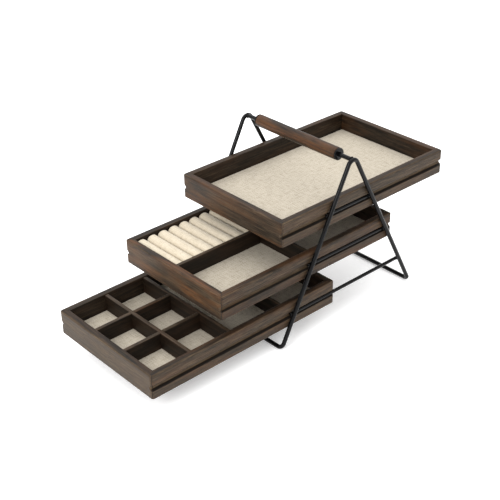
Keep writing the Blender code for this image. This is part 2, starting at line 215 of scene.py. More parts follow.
def stained_walnut(name, wood, red_share, gloss):
    """Open-grained walnut, planed, wiped with a dark stain and sealed with satin lacquer.

    The eye sees long soft streaks along each board, fine dark pores, some red heartwood, edges rubbed
    lighter with a painted highlight, and a low broad sheen. Reads grain (along, across, depth) and stain
    (rubbing with painted highlight, red, and light, which also carries painted shade and painted light).
    """
    material, tree, shader = new_material(name)
    grain = add(tree, "ShaderNodeAttribute", attribute_name="grain").outputs["Vector"]
    stain = add(tree, "ShaderNodeAttribute", attribute_name="stain").outputs["Vector"]
    board = add(tree, "ShaderNodeSeparateXYZ", {0: stain})
    wear_and_painted_highlight, red, light = board.outputs

    # Growth rings seen on a flat-sawn face: bands 4 mm apart that wander along the board.
    ring_place = add(tree, "ShaderNodeMapping", {"Vector": grain, "Scale": (4.0, 70.0, 70.0)}).outputs[0]
    rings = add(
        tree,
        "ShaderNodeTexWave",
        {"Vector": ring_place, "Scale": 1.0, "Distortion": 5.0, "Detail": 2.0, "Detail Scale": 0.9},
        wave_type="RINGS",
        rings_direction="X",
    )
    drawn = {"rings": rings.outputs["Fac"]}
    # Noise drawn out along the grain: cell length and width in millimetres, detail, roughness. Fibres are
    # finer than 0.1 mm and real pores 0.2 mm wide: both, like the sanding scratches, are drawn wider here
    # so that they show.
    for word, long, wide, detail, rough in (
        ("broad", 60, 11, 2.0, 0.5),
        ("medium", 45, 3.2, 4.0, 0.65),
        ("fibre", 30, 1.2, 4.0, 0.75),
        ("pores", 9, 0.7, 1.0, 0.5),
        ("scratches", 55, 0.7, 2.0, 0.6),
    ):
        cell = (1000 / long, 1000 / wide, 1000 / wide)
        place = add(tree, "ShaderNodeMapping", {"Vector": grain, "Scale": cell}).outputs[0]
        noise = {"Vector": place, "Scale": 1.0, "Detail": detail, "Roughness": rough}
        drawn[word] = add(tree, "ShaderNodeTexNoise", noise).outputs["Fac"]
    # The stretch of each that counts, and what it becomes.
    share = {}
    for word, source, low, high, to_low, to_high in (
        ("early", "medium", 0.4, 0.62, 0.0, 1.0),
        ("heart", "broad", 0.42, 0.66, 0.0, 1.0),
        ("late", "rings", 0.55, 0.95, 0.0, 0.35),
        ("flecks", "fibre", 0.5, 0.7, 0.0, 0.42),
        ("sanded", "scratches", 0.6, 0.72, 0.0, 0.32),
        ("rubbed", "fibre", 0.35, 0.65, 0.05, 0.5),
        ("open", "pores", 0.58, 0.7, 0.0, 1.0),
        ("rough", "fibre", 0.3, 0.7, gloss - 0.05, gloss + 0.1),
    ):
        stretch = dict(zip(STRETCH, (drawn[source], low, high, to_low, to_high)))
        share[word] = add(tree, "ShaderNodeMapRange", stretch).outputs[0]

    redder = add(tree, "ShaderNodeMath", {0: red, 1: red_share}, operation="ADD").outputs[0]
    redder = add(tree, "ShaderNodeMath", {0: redder, 1: share["heart"]}, operation="MULTIPLY").outputs[0]
    # Paler: flecks, the board's light, which also carries painted light on the groove's back, and sanding;
    # then the rubbed edges with their painted highlight.
    paler = add(tree, "ShaderNodeMath", {0: share["flecks"], 1: light}, operation="ADD").outputs[0]
    paler = add(tree, "ShaderNodeMath", {0: paler, 1: share["sanded"]}, operation="ADD").outputs[0]
    rubbed = {0: wear_and_painted_highlight, 1: share["rubbed"], 2: paler}
    paler = add(tree, "ShaderNodeMath", rubbed, operation="MULTIPLY_ADD").outputs[0]
    # A negative light is painted shade, mixed towards the dark stain.
    darker = add(tree, "ShaderNodeMath", {0: light, 1: -1.0}, operation="MULTIPLY").outputs[0]
    pitted = add(tree, "ShaderNodeMath", {0: share["open"], 1: 0.6}, operation="MULTIPLY").outputs[0]
    color = linear(wood.dark_stain)
    for amount, stain_color in (
        (share["early"], linear(wood.mid_stain)),
        (redder, linear(wood.red_stain)),
        (share["late"], linear(wood.dark_stain)),
        (paler, linear(wood.worn_stain)),
        (darker, linear(wood.dark_stain)),
        (pitted, linear(wood.pore_stain)),
    ):
        layers = {0: amount, COLOR_A: color, COLOR_B: stain_color}
        color = add(tree, "ShaderNodeMix", layers, data_type="RGBA").outputs[MIXED_COLOR]
    height = add(tree, "ShaderNodeMath", {0: drawn["fibre"], 1: 0.5}, operation="MULTIPLY").outputs[0]
    height = add(tree, "ShaderNodeMath", {0: height, 1: share["open"]}, operation="SUBTRACT").outputs[0]
    bump = add(tree, "ShaderNodeBump", {"Height": height, "Strength": 0.35, "Distance": 0.00012})
    feed(tree, shader, {"Base Color": color, "Roughness": share["rough"], "Normal": bump.outputs[0]})
    feed(tree, shader, {"IOR": 1.5, "Specular IOR Level": 0.15})
    return material


def powder_coat(name, wire):
    """Polyester powder baked on steel wire.

    The eye sees a near-black satin skin with a thin soft highlight and a faint orange peel.
    """
    material, tree, shader = new_material(name)
    place = add(tree, "ShaderNodeTexCoord").outputs["Object"]
    # Orange peel: cells 1.1 mm across, a little coarser than real so that it shows.
    peel = add(tree, "ShaderNodeTexNoise", {"Vector": place, "Scale": 900.0, "Detail": 1.0}).outputs["Fac"]
    haze = add(tree, "ShaderNodeTexNoise", {"Vector": place, "Scale": 60.0, "Detail": 3.0}).outputs["Fac"]
    layers = {0: haze, COLOR_A: linear(wire.coat_color), COLOR_B: linear(wire.coat_haze)}
    tone = add(tree, "ShaderNodeMix", layers, data_type="RGBA").outputs[MIXED_COLOR]
    stretch = dict(zip(STRETCH, (haze, 0.3, 0.7, 0.13, 0.2)))
    rough = add(tree, "ShaderNodeMapRange", stretch).outputs[0]
    bump = add(tree, "ShaderNodeBump", {"Height": peel, "Strength": 0.25, "Distance": 0.00005})
    feed(tree, shader, {"Base Color": tone, "Roughness": rough, "Normal": bump.outputs[0]})
    feed(tree, shader, {"IOR": 1.5, "Specular IOR Level": 0.14})
    return material


def plain_weave(name, light, dark, thread, sheen):
    """Plain-woven linen, unbleached: each thread goes over one and under the next, and thickens in slubs.

    The eye sees a matt, slightly uneven cloth with short darker and lighter threads both ways.
    Reads the piece's own map, in metres along the two sets of threads.
    """
    material, tree, shader = new_material(name)
    cloth = add(tree, "ShaderNodeUVMap", uv_map="cloth").outputs[0]
    # A wave of the Wave Texture is pi / 10 over its scale long.
    wave_scale = math.pi / 10 / thread
    # A slub is a thicker stretch of one thread, about 12 mm long.
    slub_cells = 80.0
    ridges = []
    slubs = []
    for way, cell in (("X", (1 / thread, slub_cells, 1.0)), ("Y", (slub_cells, 1 / thread, 1.0))):
        wave = {"Vector": cloth, "Scale": wave_scale}
        ridges.append(add(tree, "ShaderNodeTexWave", wave, bands_direction=way).outputs["Fac"])
        place = add(tree, "ShaderNodeMapping", {"Vector": cloth, "Scale": cell}).outputs[0]
        noise = {"Vector": place, "Scale": 1.0, "Detail": 2.0}
        slubs.append(add(tree, "ShaderNodeTexNoise", noise).outputs["Fac"])
    over = add(tree, "ShaderNodeTexChecker", {"Vector": cloth, "Scale": 1 / thread}).outputs["Fac"]
    ridge = add(tree, "ShaderNodeMix", {0: over, NUMBER_A: ridges[0], NUMBER_B: ridges[1]}).outputs[0]
    slub = add(tree, "ShaderNodeMix", {0: over, NUMBER_A: slubs[0], NUMBER_B: slubs[1]}).outputs[0]
    mottle = add(tree, "ShaderNodeTexNoise", {"Vector": cloth, "Scale": 260.0, "Detail": 3.0}).outputs["Fac"]
    tint = add(tree, "ShaderNodeMapRange", dict(zip(STRETCH, (slub, 0.32, 0.68)))).outputs[0]
    tint = add(tree, "ShaderNodeMath", {0: tint, 1: ridge, 2: 0.35}, operation="MULTIPLY_ADD").outputs[0]
    tint = add(tree, "ShaderNodeMath", {0: mottle, 1: 0.5, 2: tint}, operation="MULTIPLY_ADD").outputs[0]
    share = add(tree, "ShaderNodeMapRange", dict(zip(STRETCH, (tint, 0.35, 1.1)))).outputs[0]
    layers = {0: share, COLOR_A: linear(dark), COLOR_B: linear(light)}
    color = add(tree, "ShaderNodeMix", layers, data_type="RGBA").outputs[MIXED_COLOR]
    height = add(tree, "ShaderNodeMath", {0: ridge, 1: slub}, operation="ADD").outputs[0]
    bump = add(tree, "ShaderNodeBump", {"Height": height, "Strength": 0.35, "Distance": 0.00012})
    feed(tree, shader, {"Base Color": color, "Normal": bump.outputs[0], "Roughness": 0.95})
    feed(tree, shader, {"Specular IOR Level": 0.2, "Sheen Weight": sheen, "Sheen Roughness": 0.5})
    return material


def paper_floor(name, color, glow):
    """Matt white paper over a softly lit table, with barely any tooth: shadows on it stay pale."""
    material, tree, shader = new_material(name)
    place = add(tree, "ShaderNodeTexCoord").outputs["Object"]
    tooth = add(tree, "ShaderNodeTexNoise", {"Vector": place, "Scale": 700.0, "Detail": 2.0}).outputs["Fac"]
    bump = add(tree, "ShaderNodeBump", {"Height": tooth, "Strength": 0.05, "Distance": 0.0001})
    feed(tree, shader, {"Base Color": linear(color), "Normal": bump.outputs[0], "Roughness": 0.9})
    feed(tree, shader, {"Emission Color": linear(color), "Emission Strength": glow})
    shader.inputs["Specular IOR Level"].default_value = 0.1
    return material


# ---------------------------------------------------------------- meshes
def material_once(name, maker, *values):
    """The named material, made by maker the first time that it is asked for."""
    return bpy.data.materials.get(name) or maker(name, *values)


def points_at(x, y, z):
    """Points in row order from the arrays of their coordinates."""
    return np.stack(np.broadcast_arrays(x, y, z), -1).reshape(-1, 3)


def grid_faces(rows, columns, closed_rows=False, closed_columns=False):
    """Four-sided faces of a grid of points in row order, joined round where a direction is closed."""
    r, c = np.meshgrid(
        np.arange(rows - (not closed_rows)), np.arange(columns - (not closed_columns)), indexing="ij"
    )
    r_next = (r + 1) % rows
    c_next = (c + 1) % columns
    corners = (r * columns + c, r_next * columns + c, r_next * columns + c_next, r * columns + c_next)
    return np.stack(corners, -1).reshape(-1, 4)


def put(name, shells, material, body, stands_for=(), sharp=32.0, cloth=None):
    """Makes one piece from shells of (points, faces), closes its seams and sets it on its body.

    Points that coincide are merged, and faces point outwards. cloth is a map in metres, one (u, v) a point.
    """
    starts = np.cumsum([0] + [len(shell[0]) for shell in shells])
    points = np.concatenate([shell[0] for shell in shells])
    faces = np.concatenate([shell[1] + start for shell, start in zip(shells, starts)])
    mesh = bpy.data.meshes.new(name)
    mesh.from_pydata(points.tolist(), [], faces.tolist())
    if cloth is not None:
        layer = mesh.uv_layers.new(name="cloth")
        layer.data.foreach_set("uv", cloth[faces.reshape(-1)].astype(np.float32).reshape(-1))
    bm = bmesh.new()
    bm.from_mesh(mesh)
    bmesh.ops.remove_doubles(bm, verts=bm.verts[:], dist=SEAM)
    bmesh.ops.dissolve_degenerate(bm, edges=bm.edges[:], dist=SLIVER)
    bmesh.ops.recalc_face_normals(bm, faces=bm.faces[:])
    bm.to_mesh(mesh)
    bm.free()
    mesh.shade_smooth()
    mesh.set_sharp_from_angle(angle=math.radians(sharp))
    mesh.materials.append(material)
    piece = bpy.data.objects.new(name, mesh)
    bpy.context.scene.collection.objects.link(piece)
    if stands_for:
        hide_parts(*stands_for)
    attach(piece, body)
    return piece


def places_of(mesh):
    """A mesh's points as an array."""
    flat = np.empty(len(mesh.vertices) * 3, np.float32)
    mesh.vertices.foreach_get("co", flat)
    return flat.reshape(-1, 3).astype(float)


def set_grain(piece, axis, red, light, wear_and_painted_highlight=0.0):
    """Writes grain, a point's place with the board's own axis first, moved to its own part of the log.

    The second attribute, stain, holds rubbing with painted highlight from 0 to 1, extra red, and extra
    light, which also carries painted shade and painted light, for each point or for the whole board.
    """
    mesh = piece.data
    points = places_of(mesh)
    order = {"x": (0, 1, 2), "y": (1, 0, 2)}[axis]
    log = np.random.default_rng(sum(ord(letter) * 31**k for k, letter in enumerate(piece.name)) % 2**32)
    grain = points[:, order] + log.uniform(-3.0, 3.0, 3)
    for name, values in (("grain", grain), ("stain", points_at(wear_and_painted_highlight, red, light + 0 * points[:, 0]))):
        layer = mesh.attributes.new(name, "FLOAT_VECTOR", "POINT")
        layer.data.foreach_set("vector", values.astype(np.float32).reshape(-1))


def settings():
    """The carrier's settings, kept on the scene."""
    return bpy.context.scene.tray_carrier


def unit(vector):
    """The vector at length one."""
    return vector / np.linalg.norm(vector)


def box(node):
    """Lowest and highest corner of a frame node as arrays."""
    low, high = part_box(node)
    return np.array(low), np.array(high)


# ---------------------------------------------------------------- wire frame
def rounded_corner(before, corner, after, radius, steps):
    """The arc that rounds a corner; its centre is radius / sin(half angle) along the bisector."""
    back = unit(before - corner)
    on = unit(after - corner)
    half = math.acos(back @ on) / 2
    centre = corner + unit(back + on) * radius / math.sin(half)
    first = corner + back * radius / math.tan(half) - centre
    last = corner + on * radius / math.tan(half) - centre
    sweep = math.pi - 2 * half
    t = np.linspace(0, 1, steps + 1)[:, None]
    return centre + (first * np.sin((1 - t) * sweep) + last * np.sin(t * sweep)) / math.sin(sweep)


def round_bar(path, radius, sides, ease):
    """A round bar: path(s) + r(s) * (cos a * n(s) + sin a * b(s)).

    n is one fixed direction less its part along the path, b is square to both, and r falls to
    nothing at each end over a small ground edge.
    """
    along = np.gradient(path, axis=0)
    along /= np.linalg.norm(along, axis=1)[:, None]
    spots = np.concatenate([path[:1], path[:1], path[:1] + ease * along[:1], path[1:-1]])
    spots = np.concatenate([spots, path[-1:] - ease * along[-1:], path[-1:], path[-1:]])
    along = np.concatenate([along[[0, 0, 0]], along[1:-1], along[[-1, -1, -1]]])
    reach = np.full(len(spots), radius)
    reach[[0, -1]] = 0.0
    reach[[1, -2]] = radius - ease
    # No stretch of wire runs this way, so n never vanishes.
    fixed = unit(np.array([0.35, 0.60, 0.72]))
    n = fixed - along * (along @ fixed)[:, None]
    n /= np.linalg.norm(n, axis=1)[:, None]
    b = np.cross(along, n)
    angle = np.linspace(0, 2 * math.pi, sides, endpoint=False)
    ring = np.cos(angle)[None, :, None] * n[:, None] + np.sin(angle)[None, :, None] * b[:, None]
    points = spots[:, None] + reach[:, None, None] * ring
    return points.reshape(-1, 3), grid_faces(len(spots), sides, closed_columns=True)


def globe(rows, columns):
    """The angles of a globe's points: p from pole to pole, q once round."""
    p, q = np.linspace(-math.pi / 2, math.pi / 2, rows), np.linspace(-math.pi, math.pi, columns)
    return np.meshgrid(p, q, indexing="ij")


def pebble(centre, halves, lean):
    """A weld bead, an ellipsoid: (a cos p cos q, b cos p sin q, c sin p) turned by lean about Y."""
    p, q = globe(13, 25)
    x = halves[0] * np.cos(p) * np.cos(q)
    y = halves[1] * np.cos(p) * np.sin(q)
    z = halves[2] * np.sin(p)
    turned_x = x * math.cos(lean) + z * math.sin(lean)
    turned_z = z * math.cos(lean) - x * math.sin(lean)
    return points_at(centre[0] + turned_x, centre[1] + y, centre[2] + turned_z), grid_faces(13, 25)


def ring_about_y(profile, centre, sides):
    """A ring about a line along Y: each point (r, y) of a closed profile goes round at radius r."""
    angle = np.linspace(0, 2 * math.pi, sides, endpoint=False)
    r, along = profile[:, 0, None], profile[:, 1, None]
    points = points_at(centre[0] + r * np.cos(angle), centre[1] + along, centre[2] + r * np.sin(angle))
    return points, grid_faces(len(profile), sides, closed_rows=True, closed_columns=True)


def bushing(outer, bore, half, ease, steps=0):
    """Closed profile (r, y) of a sleeve on a rod: quarter circles at its rims and steps along its side."""
    turn = np.radians(np.linspace(0, 90, 6))
    rim = np.stack([outer - ease * (1 - np.cos(turn)), half - ease * (1 - np.sin(turn))], -1)
    side = np.stack([np.full(steps, outer), np.linspace(ease - half, half - ease, steps + 2)[1:-1]], -1)
    return np.concatenate([rim, [[bore, half], [bore, -half]], rim[::-1] * (1, -1), side])


def frame_sizes():
    """Sizes of the wire frame, read from its nodes."""
    low, high = box("end_frame_near")
    rod_low, rod_high = box("handle_rod")
    leg = (rod_high[2] - rod_low[2]) / 2
    half_spread = (high[0] - low[0]) / 2 - leg
    apex = high[2] - leg
    ridge = apex
    # The legs' lines meet above the bend, and that height and their lean fix each other.
    for _ in range(8):
        lean = math.atan2(half_spread, ridge - leg)
        ridge = apex + settings().wire.apex_radius * (1 / math.sin(lean) - 1)
    return {
        "leg": leg,
        "middle": (low[0] + high[0]) / 2,
        "half_spread": half_spread,
        "plane": low[1] + leg,
        "ridge": ridge,
        "lean": lean,
    }


def coat():
    """The one powder coat of all the steel."""
    return material_once("powder_coated_steel", powder_coat, settings().wire)


class CARRIER_OT_end_frames(bpy.types.Operator):
    """Bend the two end frames, each one wire from one foot bar's middle over the apex to the other's"""

    bl_idname = "tray_carrier.end_frames"
    bl_label = "End Frames"

    def execute(self, context):
        wire = settings().wire
        sizes = frame_sizes()
        left = sizes["middle"] - sizes["half_spread"]
        right = sizes["middle"] + sizes["half_spread"]
        floor_line = sizes["leg"]
        seam_left = np.array([left, 0.0, floor_line])
        seam_right = np.array([right, 0.0, floor_line])
        for word, side in (("near", 1), ("far", -1)):
            plane = side * sizes["plane"]
            foot_left = np.array([left, plane, floor_line])
            ridge = np.array([sizes["middle"], plane, sizes["ridge"]])
            foot_right = np.array([right, plane, floor_line])
            path = np.concatenate(
                [
                    seam_left[None],
                    rounded_corner(seam_left, foot_left, ridge, wire.foot_radius, 14),
                    rounded_corner(foot_left, ridge, foot_right, wire.apex_radius, 20),
                    rounded_corner(ridge, foot_right, seam_right, wire.foot_radius, 14),
                    seam_right[None],
                ]
            )
            # The two frames butt in the middle of each foot bar, so their ends there are all but square.
            bar = round_bar(path, sizes["leg"], wire.sides, wire.end_ease / 8)
            name = "end_frame_" + word
            put(name + "_bent_wire", [bar], coat(), "carrier", [name])
        return {"FINISHED"}


class CARRIER_OT_rails(bpy.types.Operator):
    """Lay the six rails and the small lap welds that join them to the legs"""

    bl_idname = "tray_carrier.rails"
    bl_label = "Rails"

    def execute(self, context):
        wire = settings().wire
        sizes = frame_sizes()
        for word, side in (("near", -1), ("far", 1)):
            beads = []
            for tier in TIERS:
                node = "%s_rail_%s" % (tier, word)
                low, high = box(node)
                radius = (high[2] - low[2]) / 2
                y, z = (low[1] + high[1]) / 2, (low[2] + high[2]) / 2
                path = np.linspace([low[0], y, z], [high[0], y, z], 9)
                bar = round_bar(path, radius, wire.sides, wire.end_ease)
                put(node + "_rod", [bar], coat(), "carrier", [node])
                leg_y = side * abs(sizes["plane"])
                touch = (y + side * radius + leg_y - side * sizes["leg"]) / 2
                run = (sizes["ridge"] - z) * math.tan(sizes["lean"])
                for end in (-1, 1):
                    centre = np.array([sizes["middle"] + end * run, touch, z])
                    halves = (wire.weld_length / 2, radius * 0.62, radius * 0.8)
                    beads.append(pebble(centre, halves, end * sizes["lean"] * 0.4))
            put("rail_welds_" + word, beads, coat(), "carrier")
        return {"FINISHED"}


class CARRIER_OT_handle(bpy.types.Operator):
    """Turn the wooden grip, its end discs and the rod that carries them between the apexes"""

    bl_idname = "tray_carrier.handle"
    bl_label = "Handle"

    def execute(self, context):
        wire, wood = settings().wire, settings().wood
        low, high = box("handle_rod")
        radius = (high[2] - low[2]) / 2
        x, z = (low[0] + high[0]) / 2, (low[2] + high[2]) / 2
        # The rod's ends are let a little way into the apexes.
        seat = 0.0009
        path = np.linspace([x, low[1] - seat, z], [x, high[1] + seat, z], 9)
        shells = [round_bar(path, radius, wire.sides, wire.end_ease)]
        # A fillet weld flares from the rod to the apex, a quarter of an ellipse rooted inside the rod.
        flare = np.radians(np.linspace(0, 90, 8))
        root, set_back = radius - 0.0006, 0.0012
        weld_r = np.append(radius + wire.flare_rise * (1 - np.cos(flare)), [root, root])
        weld_y = np.append(wire.flare_run * np.sin(flare), [wire.flare_run, 0.0]) - set_back
        for side, end in ((-1, low[1]), (1, high[1])):
            profile = np.stack([weld_r, side * weld_y], -1)
            shells.append(ring_about_y(profile, (x, end, z), wire.sides))
        put("handle_rod_welded", shells, coat(), "carrier", ["handle_rod"])

        bore = radius + 0.0003
        low, high = box("handle_grip")
        profile = bushing((high[2] - low[2]) / 2, bore, (high[1] - low[1]) / 2, wood.grip_ease, 23)
        turned = ring_about_y(profile, (x, (low[1] + high[1]) / 2, z), 64)
        walnut = material_once("stained_walnut_grip", stained_walnut, wood, 0.55, 0.42)
        grip = put("handle_grip_turned", [turned], walnut, "carrier", ["handle_grip"])
        set_grain(grip, "y", 0.3, -0.1)
        for node in ("handle_cap_near", "handle_cap_far"):
            low, high = box(node)
            profile = bushing((high[2] - low[2]) / 2, bore, (high[1] - low[1]) / 2, wire.disc_ease)
            disc = ring_about_y(profile, (x, (low[1] + high[1]) / 2, z), 64)
            put(node + "_disc", [disc], coat(), "carrier", [node])
        return {"FINISHED"}


# ---------------------------------------------------------------- trays
# How dark or pale a board is painted beside its open face, from -1 to 1: painted shade inside a tray, on
# the wall tops, in the groove's bed and down a divider's faces, painted light on the groove's back, and a
# dark line in the mitre joint.
INSIDE_SHADE = -0.3
TOP_SHADE = -0.04
GROOVE_BED_SHADE = -1.0
GROOVE_END_SHADE = -0.2
GROOVE_BACK_LIGHT = 0.45
MITRE_SHADE = -1.0
DIVIDER_SHADE = -0.5
# Boards on which the stain took otherwise than on the rest: (red, light).
PLAIN_TONE = (0.05, 0.0)
BOARD_TONES = {
    "top_tray_side_near": (0.10, 0.05),
    "top_tray_end_left": (0.5, -0.08),
    "top_tray_end_right": (0.40, 0.0),
    "middle_tray_end_left": (0.85, 0.0),
    "middle_tray_side_near": (0.30, -0.05),
    "bottom_tray_end_left": (0.0, 0.12),
    "bottom_tray_side_near": (0.20, 0.02),
}


def groove_line(wood, rail):
    """The rail groove as heights and depths, from the lower lip up.

    A floor runs in from the lip to a half circle round the rail, (z, d) = (zc + R sin t, dc + R cos t), and
    a steep chamfer leads from the top of the half circle out to the upper lip.
    """
    depth, height, radius = rail
    low, top, ease = wood.groove_mouth_low, wood.groove_mouth_top, wood.lip_ease
    turn = np.radians(np.linspace(-90, 90, 11))
    heights = [[low - ease, low - ease / 4, low], height + radius * np.sin(turn)]
    heights += [[wood.groove_roof, top - ease, top - ease / 3, top + ease / 2]]
    depths = [[0.0, ease / 4, ease], depth + radius * np.cos(turn)]
    depths += [[wood.chamfer, ease / 2, ease / 5, 0.0]]
    return np.concatenate(heights), np.concatenate(depths)


def wall_chains(width, height, dado, groove, wood, grooved):
    """A wall's upright section as two chains of (depth from the outer face, height), matched row by row.

    Up from the middle of the sole: quarter circles at foot and top, the dado inside and the groove outside.
    """
    turn = np.radians(np.linspace(0, 90, 8))
    foot, top, inner, sole = wood.foot_edge, wood.top_edge, wood.inner_edge, wood.foot_edge / 3
    dado_low, dado_top, dado_depth = dado
    lips = groove[0]
    lips = np.concatenate([[lips[0] - 0.4 * MILLIMETRE], lips, [lips[-1] + 0.4 * MILLIMETRE]])
    face = np.concatenate([[dado_low, dado_low, dado_top, dado_top], lips])
    face = np.concatenate([face, height - top - np.array([4.0, 1.6, 0.8]) * MILLIMETRE])
    inner_face = np.full(len(face), width)
    inner_face[1:3] -= dado_depth
    outer_face = np.interp(face, *groove) if grooved else np.zeros(len(face))
    outer = np.concatenate(
        [
            [[width / 2, 0.0]],
            np.stack([foot * (1 - np.sin(turn)), foot * (1 - np.cos(turn))], -1),
            np.stack([outer_face, face], -1),
            np.stack([top * (1 - np.cos(turn)), height - top * (1 - np.sin(turn))], -1),
            [[width / 2, height]],
        ]
    )
    inside = np.concatenate(
        [
            [[width / 2, 0.0]],
            np.stack([width - sole * (1 - np.sin(turn)), sole * (1 - np.cos(turn))], -1),
            np.stack([inner_face, face], -1),
            np.stack([width - inner * (1 - np.cos(turn)), height - inner * (1 - np.sin(turn))], -1),
            [[width / 2, height]],
        ]
    )
    return outer, inside


def mitred_wall(length, width, height, dado, groove, wood, grooved):
    """A tray wall as points (u along, v in from the outer face, z up) and faces.

    The section is carried along u. At each end a point of depth d lies on the mitre, where u equals v, and
    the outer corner is rounded: u = R - (R - d) cos t, v = R - (R - d) sin t for t from 45 to 90 degrees.
    Where a groove of depth g(z) runs out through the end, u is at least g(z). Each end is closed by
    drawing the outer and inner chain together, to the middle of the wall.
    """
    outer, inside = wall_chains(width, height, dado, groove, wood, grooved)
    loop = np.concatenate([outer, inside[::-1]])
    opposite = loop[::-1]
    corner = wood.corner_radius
    share = np.concatenate([np.linspace(0.5, 0.0, 9)[:-1], np.zeros(8)])[:, None]
    turn = np.radians(np.concatenate([np.full(8, 45.0), np.linspace(45, 90, 8)]))[:, None]
    depth = (1 - share) * loop[:, 0] + share * opposite[:, 0]
    z = (1 - share) * loop[:, 1] + share * opposite[:, 1]
    inside_corner = depth < corner
    u = np.where(inside_corner, corner - (corner - depth) * np.cos(turn), depth)
    if not grooved:
        u = np.maximum(u, np.interp(z, *groove))
    fall = np.sqrt(np.maximum((corner - depth) ** 2 - (corner - u) ** 2, 0.0))
    v = np.where(inside_corner & (u < corner), corner - fall, depth)
    # One row stands 0.4 mm from each mitre, so that the dark line in the joint stays thin.
    near = 0.4 * MILLIMETRE
    u = u + wood.mitre_gap / 2
    free = length - 2 * u[-1]
    middle = np.linspace(0, 1, 6)[1:-1, None] * free
    u_middle = u[-1] + np.concatenate([0 * free[None] + near, middle, free[None] - near])
    u = np.concatenate([u, u_middle, length - u[::-1]])
    v = np.concatenate([v, np.repeat(loop[None, :, 0], 6, 0), v[::-1]])
    z = np.concatenate([z, np.repeat(loop[None, :, 1], 6, 0), z[::-1]])
    return points_at(u, v, z), grid_faces(len(u), len(loop), closed_columns=True)


def tray_walnut():
    """The one walnut of all the trays' boards."""
    return material_once("stained_walnut", stained_walnut, settings().wood, 0.12, 0.46)


def wall_stain(spots, size, groove, grooved, light, wood):
    """Painted light and shade, and rubbing with painted highlight, at each point of a tray wall, from spots
    (in from an end, in from a side, height).

    The board keeps its own tone outside, and gets painted shade inside, on top and in the groove's bed,
    painted light on the groove's back, and a dark line at a mitre. Rubbing and painted highlight follow the
    sin of twice the angle round a rounded top edge, and are 0.8 on the groove's lower lip.
    """
    width, height = size
    from_end, from_side, z = spots
    depth = np.minimum(from_end, from_side)
    # Masks for painted shade inside the tray and on the top faces, and for the groove where painted light
    # and shade go.
    inside = (depth > 0.9 * width) & (z < height - wood.inner_edge / 2)
    top = (depth > 0.9 * wood.top_edge) & (z > height - 0.2 * MILLIMETRE)
    in_groove = (depth > 0.3 * MILLIMETRE) & (depth < 0.75 * width)
    in_groove &= (z > wood.groove_mouth_low - 0.1 * MILLIMETRE) & (z < wood.groove_roof)
    # The bed is the groove's floor, up to the first point of its half circle.
    bed = in_groove & (z < groove[0][4])
    bed_shade = GROOVE_BED_SHADE if grooved else GROOVE_END_SHADE
    seam = np.abs(from_end - from_side) < 0.3 * MILLIMETRE
    shades = [INSIDE_SHADE * inside, TOP_SHADE * top, bed_shade * bed, MITRE_SHADE * seam]
    shade = np.minimum.reduce(shades)
    # Painted shade, or the mitre's dark line, takes the place of the board's tone; elsewhere the groove's
    # back gets painted light.
    tone = np.where(shade < 0, shade, light + GROOVE_BACK_LIGHT * in_groove)

    # Rubbed edges with a painted highlight round the rounded top edges and on the groove's lower lip.
    outer = np.arctan2(z - height + wood.top_edge, wood.top_edge - depth)
    inner = np.arctan2(z - height + wood.inner_edge, depth - width + wood.inner_edge)
    lip = np.abs(z - wood.groove_mouth_low + wood.lip_ease) < 0.1 * MILLIMETRE
    lip &= depth < 0.1 * MILLIMETRE
    wear_and_painted_highlight = np.maximum.reduce([np.sin(2 * outer), 0.7 * np.sin(2 * inner), 0.8 * lip])
    return tone, np.clip(wear_and_painted_highlight, 0, 1)


class CARRIER_OT_tray_walls(bpy.types.Operator):
    """Shape the four mitred walls of each tray, with the rail grooves and the dado for the panel"""

    bl_idname = "tray_carrier.tray_walls"
    bl_label = "Tray Walls"

    def execute(self, context):
        wood = settings().wood
        for tier in TIERS:
            body = tier + "_tray"
            near_low, near_high = box(body + "_side_near")
            far_high = box(body + "_side_far")[1]
            panel_low, panel_high = box(body + "_panel")
            length, width, height = near_high - near_low
            across = far_high[1] - near_low[1]
            x0, y0, floor = near_low
            x1, y1 = near_high[0], far_high[1]
            dado_low = panel_low[2] - floor - wood.joint_fit
            dado_top = panel_high[2] - floor + wood.joint_fit
            dado = (dado_low, dado_top, x0 + width - panel_low[0] + wood.joint_fit)
            rail_low, rail_high = box(tier + "_rail_near")
            rail_middle = (rail_low + rail_high) / 2
            room = (rail_high[2] - rail_low[2]) / 2 + wood.rail_room
            groove = groove_line(wood, (rail_middle[1] - y0, rail_middle[2] - floor, room))
            sides = {
                "side_near": (length, True, lambda u, v: (x0 + u, y0 + v)),
                "side_far": (length, True, lambda u, v: (x0 + u, y1 - v)),
                "end_left": (across, False, lambda u, v: (x0 + v, y0 + u)),
                "end_right": (across, False, lambda u, v: (x1 - v, y0 + u)),
            }
            for part, (long, grooved, turn) in sides.items():
                node = "%s_%s" % (body, part)
                points, faces = mitred_wall(long, width, height, dado, groove, wood, grooved)
                x, y = turn(points[:, 0], points[:, 1])
                points = points_at(x, y, floor + points[:, 2])
                board = put(node + "_board", [(points, faces)], tray_walnut(), body, [node])
                x, y, z = places_of(board.data).T
                from_end = (x1 - x0) / 2 - np.abs(x - (x0 + x1) / 2)
                from_side = (y1 - y0) / 2 - np.abs(y - (y0 + y1) / 2)
                red, light = BOARD_TONES.get(node, PLAIN_TONE)
                spots = (from_end, from_side, z - floor)
                # The wall's tone with painted shade and painted light, and rubbing with painted highlight.
                stain = wall_stain(spots, (width, height), groove, grooved, light, wood)
                set_grain(board, "x" if grooved else "y", red, *stain)
        return {"FINISHED"}


